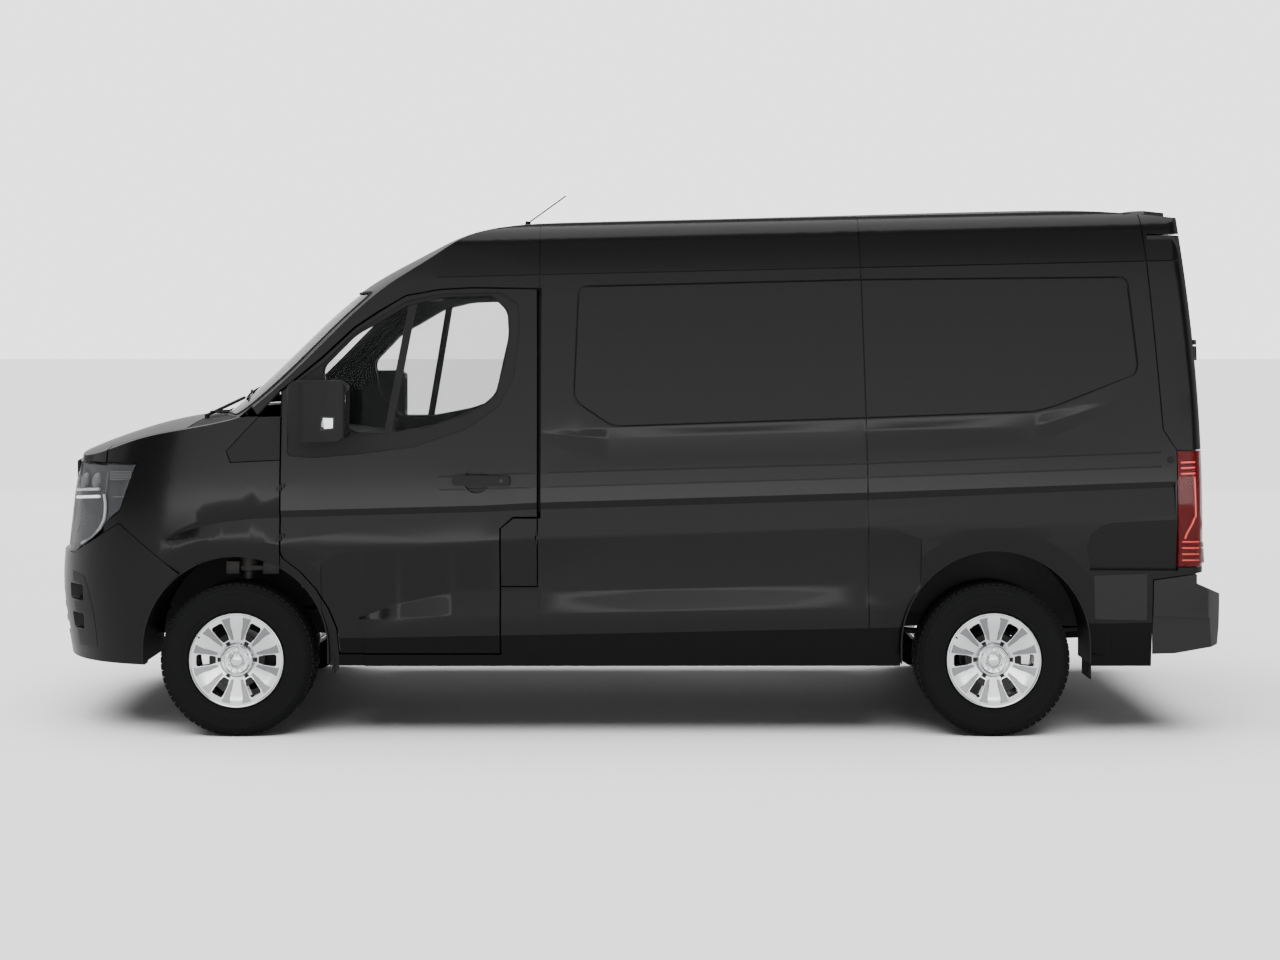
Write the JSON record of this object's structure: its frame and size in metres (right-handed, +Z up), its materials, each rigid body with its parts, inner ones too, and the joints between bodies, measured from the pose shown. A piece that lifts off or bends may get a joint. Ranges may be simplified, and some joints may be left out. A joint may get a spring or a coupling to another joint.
{
  "type": "panel van",
  "caption": "High-roof panel van with hinged bonnet, cab doors, full-height rear doors, side load door and a bulkhead behind the cab",
  "frame": {"origin": "On the ground, midway between front and rear bumper and between the two sides", "axes": "+X forward, +Y to the van's left, +Z up"},
  "size_m": [5.6866, 2.47, 2.6308],
  "materials": {
    "body_paint": "dark grey metallic paint",
    "moulding_plastic": "satin grey moulded plastic",
    "trim_plastic": "fine-grained black plastic",
    "grille_plastic": "gloss black plastic",
    "cabin_plastic": "grained dark grey plastic",
    "seat_cloth": "woven dark grey cloth",
    "window_glass": "light green tinted safety glass",
    "lamp_lens": "clear lamp cover",
    "tail_lens": "red lamp cover",
    "underbody": "black underbody coating",
    "cast_metal": "dark cast metal",
    "exhaust_steel": "dull aluminised steel",
    "tyre_rubber": "black tyre rubber",
    "wheel_silver": "silver painted wheel cover"
  },
  "bodies": {
    "body": {"body_side_left": "body_paint", "body_side_right": "body_paint", "sliding_door": "body_paint", "roof_panel": "body_paint", "front_fenders": "body_paint", "front_bumper": "body_paint", "grille": "grille_plastic", "headlamps": "lamp_lens", "windscreen": "window_glass", "cowl": "trim_plastic", "floor_pan": "underbody", "bulkhead": "underbody", "dashboard": "cabin_plastic", "cab_seats": "seat_cloth", "seat_bases": "cabin_plastic", "engine_block": "cast_metal", "tail_lamps": "tail_lens", "rear_bumper": "moulding_plastic", "antenna": "trim_plastic", "arch_liners": "trim_plastic", "exhaust": "exhaust_steel", "fuel_tank": "trim_plastic", "spare_wheel": "tyre_rubber", "front_structure": "underbody", "rear_axle": "underbody"},
    "bonnet": {"bonnet": "body_paint"},
    "fuel_flap": {"fuel_flap": "body_paint"},
    "front_door_left": {"door_left": "body_paint", "door_glass_left": "window_glass", "door_trim_left": "trim_plastic"},
    "front_door_right": {"door_right": "body_paint", "door_glass_right": "window_glass", "door_trim_right": "trim_plastic"},
    "rear_door_left": {"rear_door_left": "body_paint"},
    "rear_door_right": {"rear_door_right": "body_paint"},
    "steering_left": {"knuckle_left": "cast_metal"},
    "steering_right": {"knuckle_right": "cast_metal"},
    "wheel_front_left": {"tyre_front_left": "tyre_rubber", "rim_front_left": "wheel_silver"},
    "wheel_front_right": {"tyre_front_right": "tyre_rubber", "rim_front_right": "wheel_silver"},
    "wheel_rear_left": {"tyre_rear_left": "tyre_rubber", "rim_rear_left": "wheel_silver"},
    "wheel_rear_right": {"tyre_rear_right": "tyre_rubber", "rim_rear_right": "wheel_silver"}
  },
  "joints": [
    {"name": "bonnet_hinge", "type": "hinge", "parent": "body", "child": "bonnet", "pos_m": [2.095, 0, 1.503], "axis": [0, -1, 0], "range_deg": [0, 55]},
    {"name": "front_door_left_hinge", "type": "hinge", "parent": "body", "child": "front_door_left", "pos_m": [1.629, 1.013, 1.2], "axis": [0, 0, -1], "range_deg": [0, 70]},
    {"name": "front_door_right_hinge", "type": "hinge", "parent": "body", "child": "front_door_right", "pos_m": [1.629, -1.013, 1.2], "axis": [0, 0, 1], "range_deg": [0, 70]},
    {"name": "rear_door_left_hinge", "type": "hinge", "parent": "body", "child": "rear_door_left", "pos_m": [-2.764, 0.866, 0.8], "axis": [-0.0355, 0, -0.9994], "range_deg": [0, 180]},
    {"name": "rear_door_right_hinge", "type": "hinge", "parent": "body", "child": "rear_door_right", "pos_m": [-2.764, -0.866, 0.8], "axis": [0.0355, 0, 0.9994], "range_deg": [0, 180]},
    {"name": "fuel_flap_hinge", "type": "hinge", "parent": "body", "child": "fuel_flap", "pos_m": [0.419, 1.01, 0.945], "axis": [0, 0, 1], "range_deg": [0, 80]},
    {"name": "steering_left_pivot", "type": "hinge", "parent": "body", "child": "steering_left", "pos_m": [1.8405, 0.79, 0.235], "axis": [0, -0.1961, 0.9806], "range_deg": [-35, 35]},
    {"name": "steering_right_pivot", "type": "hinge", "parent": "body", "child": "steering_right", "pos_m": [1.8405, -0.79, 0.235], "axis": [0, 0.1961, 0.9806], "range_deg": [-35, 35]},
    {"name": "wheel_front_left_axle", "type": "hinge", "parent": "steering_left", "child": "wheel_front_left", "pos_m": [1.8405, 0.885, 0.362], "axis": [0, 1, 0], "continuous": true},
    {"name": "wheel_front_right_axle", "type": "hinge", "parent": "steering_right", "child": "wheel_front_right", "pos_m": [1.8405, -0.885, 0.362], "axis": [0, 1, 0], "continuous": true},
    {"name": "wheel_rear_left_axle", "type": "hinge", "parent": "body", "child": "wheel_rear_left", "pos_m": [-1.7445, 0.885, 0.362], "axis": [0, 1, 0], "continuous": true},
    {"name": "wheel_rear_right_axle", "type": "hinge", "parent": "body", "child": "wheel_rear_right", "pos_m": [-1.7445, -0.885, 0.362], "axis": [0, 1, 0], "continuous": true}
  ],
  "couplings": [
    {"joint": "steering_right_pivot", "follows": "steering_left_pivot", "ratio": 1}
  ]
}
